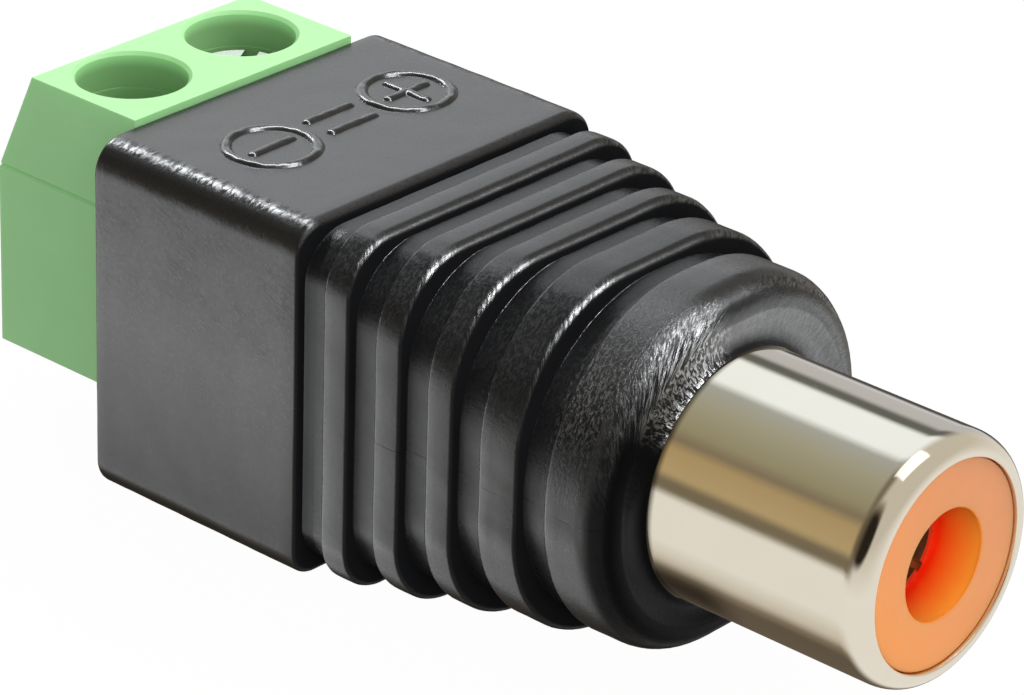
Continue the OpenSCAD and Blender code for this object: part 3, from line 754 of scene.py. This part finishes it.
# Floor, white to the camera, with a soft shadow
FLOOR_HALF, FLOOR_Z = 1500, -0.01
floor_corners = [(FLOOR_HALF * a, FLOOR_HALF * b, FLOOR_Z) for a, b in ((-1, -1), (1, -1), (1, 1), (-1, 1))]
floor = add_mesh("floor", floor_corners, [(0, 1, 2, 3)], False)
floor_white, g, shader = material("floor_white")
for name, value in (("Base Color", (0.9, 0.9, 0.9)), ("Roughness", 0.9), ("Specular IOR Level", 0.0)):
    g.put(value, shader.inputs[name])
path = g.node("ShaderNodeLightPath").outputs
glow = g.node("ShaderNodeEmission", {"Color": (1, 1, 1), "Strength": 1.0}).outputs[0]
seen = g.maths("MAXIMUM", path["Is Camera Ray"], path["Is Transmission Ray"])
both = g.node("ShaderNodeMixShader", {"Fac": g.times(seen, 0.98), 1: shader.outputs[0], 2: glow}).outputs[0]
g.put(both, [n for n in g.tree.nodes if n.type == "OUTPUT_MATERIAL"][0].inputs[0])
floor.data.materials.append(floor_white)
floor.visible_glossy = False
floor.visible_diffuse = False

# World: white behind the object, a studio's bands in its gloss, plain light otherwise
world = bpy.data.worlds.new("studio")
bpy.context.scene.world = world
world.use_nodes = True
g = Graph(world.node_tree)
out = g.node("ShaderNodeOutputWorld")
sky = g.node("ShaderNodeBackground")
g.put(sky.outputs[0], out.inputs[0])
ray = g.node("ShaderNodeTexCoord").outputs["Generated"]
ray_x, ray_y, ray_z = g.split(ray)

# Bands round the X axis, which the shell shows along its side, in degrees upwards from -Y
START = 146.5


def at(degrees):
    return (degrees + START) / 360


turn = g.maths("ARCTAN2", ray_z, g.times(ray_y, -1.0))
turn = g.maths("FRACT", g.maths("DIVIDE", g.plus(turn, math.radians(START + 360)), 2 * math.pi))
BROWN, CREAM, LINE, GOLD = (0.13, 0.10, 0.07), (0.86, 0.82, 0.74), (0.20, 0.16, 0.10), (0.50, 0.37, 0.19)
OLIVE, BOX, SHADE, PALE = (0.40, 0.375, 0.27), (1.0, 1.03, 1.02), (0.14, 0.14, 0.12), (0.55, 0.53, 0.52)
bands = g.ramp(turn, [
    (0.0, BROWN), (at(-90), BROWN), (at(-80), (0.24, 0.19, 0.13)), (at(-70), (0.62, 0.56, 0.46)),
    (at(-48), CREAM), (at(-8), CREAM), (at(-1), LINE), (at(6), LINE),
    (at(13), GOLD), (at(33), (0.46, 0.33, 0.16)), (at(42), (0.24, 0.19, 0.12)), (at(52), (0.33, 0.29, 0.18)),
    (at(78), OLIVE), (at(98), (0.43, 0.43, 0.39)), (at(106), BOX), (at(137), BOX), (at(143), SHADE),
    (at(151), SHADE), (at(158), PALE), (at(179), PALE), (at(183), (0.68, 0.67, 0.66)),
    (at(187), (0.5, 0.49, 0.48)), (at(191), (0.07, 0.065, 0.06)), (1.0, (0.12, 0.11, 0.10))])


# How closely a ray runs along a direction
def along(direction):
    return g.node("ShaderNodeVectorMath", {0: ray, 1: direction}, operation="DOT_PRODUCT").outputs["Value"]


# Ahead of the socket, which its rim shows: pale, with a brown and a dark patch, and a sill where it begins
front = g.mix(g.ranged(ray_z, -0.35, 0.35, 0, 1), (0.88, 0.83, 0.76), (0.62, 0.56, 0.46))
front = g.mix(g.smooth(along((0.06, -0.75, 0.66)), 0.92, 0.98, 0, 0.85), front, (0.17, 0.12, 0.07))
front = g.mix(g.smooth(along((0.05, -0.88, 0.47)), 0.88, 0.95, 0, 1), front, (0.02, 0.015, 0.01))
bands = g.mix(g.smooth(ray_x, -0.42, -0.1, 0, 1), bands, front)
sill = g.times(g.ranged(ray_x, -0.45, -0.3, 0, 1), g.ranged(ray_x, -0.2, 0.0, 1, 0),
               g.ranged(ray_z, -0.2, 0.1, 0, 0.8), g.ranged(ray_y, -0.1, 0.1, 1, 0))
bands = g.mix(sill, bands, (0.13, 0.10, 0.06))
path = g.node("ShaderNodeLightPath").outputs
soft = g.mix(g.ranged(ray_z, -0.2, 0.2, 0, 1), (0.34, 0.34, 0.34), (0.45, 0.45, 0.45))
plain = g.mix(path["Is Glossy Ray"], soft, bands)
white = g.maths("MAXIMUM", path["Is Camera Ray"], path["Is Transmission Ray"])
g.put(g.mix(white, plain, (1.0, 1.0, 1.0)), sky.inputs["Color"])
sky.inputs["Strength"].default_value = 1.0


# Lamps
def lamp(name, centre, target, size, radiance, kinds="both", colour=(1, 1, 1)):
    d = bpy.data.lights.new(name, "AREA")
    d.shape = "RECTANGLE"
    d.size, d.size_y = size
    d.energy = radiance * math.pi * size[0] * size[1]
    d.color = colour
    o = bpy.data.objects.new(name, d)
    bpy.context.scene.collection.objects.link(o)
    z = (Vector(centre) - Vector(target)).normalized()
    y = z.cross(Vector((1, 0, 0)) if abs(z.x) < 0.9 else Vector((0, 1, 0))).normalized()
    x = y.cross(z).normalized()
    o.matrix_world = Matrix((*[(x[i], y[i], z[i], centre[i]) for i in range(3)], (0, 0, 0, 1)))
    o.visible_glossy = kinds != "matt"
    o.visible_diffuse = kinds != "gloss"
    return o


# A collection of pieces that a lamp is linked to or kept from
def group(name, pieces, state):
    made = bpy.data.collections.new(name)
    for ob in pieces:
        made.objects.link(ob)
    for entry in made.collection_objects:
        entry.light_linking.link_state = state
    return made


# A lamp that only some pieces take light from, or all but some, and that some pieces let through
def only_for(light, pieces, leave_out=False, through=()):
    state = "EXCLUDE" if leave_out else "INCLUDE"
    light.light_linking.receiver_collection = group(light.name + "_receivers", pieces, state)
    if through:
        light.light_linking.blocker_collection = group(light.name + "_blockers", through, "EXCLUDE")


# A lamp on some pieces alone, for their matt light unless another kind is named
def fill(name, centre, target, size, radiance, pieces, kinds="matt", through=()):
    only_for(lamp(name, centre, target, size, radiance, kinds), pieces, through=through)


# A card or a strip light that only the gloss of some pieces shows
def card(name, centre, target, size, radiance, pieces, through=()):
    only_for(lamp(name, centre, target, size, radiance, "gloss", (0.97, 1.0, 1.03)), pieces, through=through)


MIDDLE, DISC, STRIP = (0, 0, 0.006), (0.018, 0, 0.006), (-0.02, 0.035, 0.165)
TILT, SOFTBOX_AWAY = math.radians(122), 0.25
softbox_at = (0.0, -SOFTBOX_AWAY * math.cos(TILT), MIDDLE[2] + SOFTBOX_AWAY * math.sin(TILT))
softbox = lamp("softbox", softbox_at, MIDDLE, (0.5, 0.14), 3.6)
only_for(softbox, black_parts + [shell], leave_out=True)
lamp("front", (0.22, -0.06, 0.12), MIDDLE, (0.16, 0.16), 1.6, "matt")
fill("bore_fill", tuple(back * 0.25), DISC, (0.06, 0.06), 46.0, [bore])
fill("face_fill", (0.06, -0.04, -0.01), DISC, (0.04, 0.04), 2.7, [insulator], through=[floor])
fill("side_fill", (-0.03, -0.16, 0.05), (-0.014, 0, 0.004), (0.1, 0.06), 1.1, [green])
fill("contact_fill", tuple(back * 0.2), (0.012, 0, 0.006), (0.03, 0.03), 30.0, [nodes["centre_contact"]],
     "both")
card("strip", STRIP, MIDDLE, (0.45, 0.032), 34.0, [block, marks])
card("strip_low", STRIP, MIDDLE, (0.45, 0.045), 5.0, [ribs, nose])
card("front_strip", (0.112, 0.03, 0.120), MIDDLE, (0.055, 0.12), 48.0, [ribs, nose])
fill("front_spot", (0.010, 0.026, 0.18), MIDDLE, (0.09, 0.10), 0.9, [shell], "gloss")
card("card_top", (-0.085, 0.061, 0.051), (0, 0, 0.012), (0.105, 0.06), 1.5, black_parts, [block, ribs, nose])
card("card_high", (-0.06, 0.03, 0.09), (0, 0, 0.012), (0.1, 0.05), 0.6, [ribs, nose])
card("card_side", (-0.080, -0.057, -0.030), (-0.008, -0.007, 0.006), (0.07, 0.07), 2.15, black_parts,
     [floor, block, ribs])
card("card_low", (-0.026, -0.022, -0.038), (0.004, -0.006, 0.003), (0.05, 0.045), 1.6, [ribs, nose], [floor])
card("card_corner", (-0.071, -0.052, 0.087), MIDDLE, (0.06, 0.10), 2.2, [ribs, nose], [block, ribs, nose])
card("card_shoulder", (-0.022, -0.1, -0.045), (0.008, 0, 0.004), (0.04, 0.03), 1.8, [nose],
     [floor, block, ribs])
card("card_face", (0.072, 0.067, -0.034), (0.01, 0, 0.008), (0.09, 0.09), 3.2, [nose],
     [floor, shell, insulator, bore])
fill("screw_fill", (-0.10, 0.10, 0.078), (-0.014, 0.0025, 0.011), (0.07, 0.07), 0.95, heads, "both", [green])

bpy.context.scene.view_settings.view_transform = "Standard"
